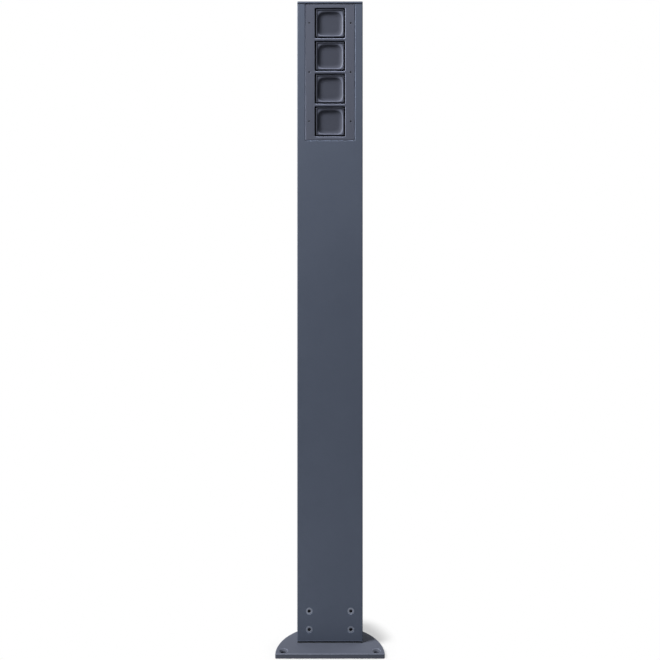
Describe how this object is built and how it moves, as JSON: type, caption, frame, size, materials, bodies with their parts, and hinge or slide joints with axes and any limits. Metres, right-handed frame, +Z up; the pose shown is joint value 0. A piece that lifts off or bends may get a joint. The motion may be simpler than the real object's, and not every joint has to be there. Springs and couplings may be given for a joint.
{
  "type": "garden socket post",
  "caption": "Upright D-section column on a half-round foot plate, with hinged-lid plug sockets behind a flush front panel near the top.",
  "frame": {"origin": "on the ground, under the middle of the foot plate's bounding box", "axes": "+Z up along the column; -Y is the flat front with the lids; +X is the right side seen from behind the lids looking +Y"},
  "size_m": [0.23, 0.121, 1.4],
  "materials": {
    "anthracite_coat": "fine matt powder coat",
    "panel_coat": "fine matt powder coat",
    "lid_plastic": "satin moulded",
    "black_plastic": "matt moulded",
    "pale_plastic": "moulded",
    "lead_plastic": "insulated leads",
    "rubber": "matt",
    "stainless": "satin",
    "dark_screw": "blackened steel",
    "zinc_steel": "zinc plated",
    "brass": "bare"
  },
  "bodies": {
    "post": {"base_plate": "anthracite_coat", "foot_gasket": "rubber", "foot_bracket": "zinc_steel", "foot_bolts": "zinc_steel", "column_screws": "stainless", "cable_grommet": "rubber", "column_profile": "anthracite_coat", "top_cap": "anthracite_coat", "cap_seal": "rubber", "cap_screws": "stainless", "front_panel": "panel_coat", "panel_seal": "rubber", "panel_screws": "dark_screw", "panel_studs": "zinc_steel", "stud_nuts": "zinc_steel", "terminal_plate": "zinc_steel", "terminal_block": "pale_plastic", "terminal_screws": "zinc_steel", "earth_screw": "brass", "wiring_leads": "lead_plastic", "hinge_pin_1": "stainless", "hinge_pin_2": "stainless", "hinge_pin_3": "stainless", "hinge_pin_4": "stainless", "lid_spring_1": "stainless", "lid_spring_2": "stainless", "lid_spring_3": "stainless", "lid_spring_4": "stainless", "socket_frame_1": "black_plastic", "socket_frame_2": "black_plastic", "socket_frame_3": "black_plastic", "socket_frame_4": "black_plastic", "plug_well_1": "black_plastic", "plug_well_2": "black_plastic", "plug_well_3": "black_plastic", "plug_well_4": "black_plastic", "earth_clip_1": "brass", "earth_clip_2": "brass", "earth_clip_3": "brass", "earth_clip_4": "brass", "contact_sleeves_1": "brass", "contact_sleeves_2": "brass", "contact_sleeves_3": "brass", "contact_sleeves_4": "brass", "terminal_housing_1": "black_plastic", "terminal_housing_2": "black_plastic", "terminal_housing_3": "black_plastic", "terminal_housing_4": "black_plastic"},
    "lid_flap_1": {"lid_1": "lid_plastic", "lid_seal_1": "rubber"},
    "lid_flap_2": {"lid_2": "lid_plastic", "lid_seal_2": "rubber"},
    "lid_flap_3": {"lid_3": "lid_plastic", "lid_seal_3": "rubber"},
    "lid_flap_4": {"lid_4": "lid_plastic", "lid_seal_4": "rubber"}
  },
  "joints": [
    {"name": "lid_hinge_1", "type": "hinge", "parent": "post", "child": "lid_flap_1", "pos_m": [0, -0.0125, 1.37955], "axis": [-1, 0, 0], "range_deg": [0, 100], "stiffness_Nm_per_rad": 0.02, "springref_deg": -20.05, "deforming": ["lid_spring_1"]},
    {"name": "lid_hinge_2", "type": "hinge", "parent": "post", "child": "lid_flap_2", "pos_m": [0, -0.0125, 1.30855], "axis": [-1, 0, 0], "range_deg": [0, 100], "stiffness_Nm_per_rad": 0.02, "springref_deg": -20.05, "deforming": ["lid_spring_2"]},
    {"name": "lid_hinge_3", "type": "hinge", "parent": "post", "child": "lid_flap_3", "pos_m": [0, -0.0125, 1.23755], "axis": [-1, 0, 0], "range_deg": [0, 100], "stiffness_Nm_per_rad": 0.02, "springref_deg": -20.05, "deforming": ["lid_spring_3"]},
    {"name": "lid_hinge_4", "type": "hinge", "parent": "post", "child": "lid_flap_4", "pos_m": [0, -0.0125, 1.16655], "axis": [-1, 0, 0], "range_deg": [0, 100], "stiffness_Nm_per_rad": 0.02, "springref_deg": -20.05, "deforming": ["lid_spring_4"]}
  ]
}
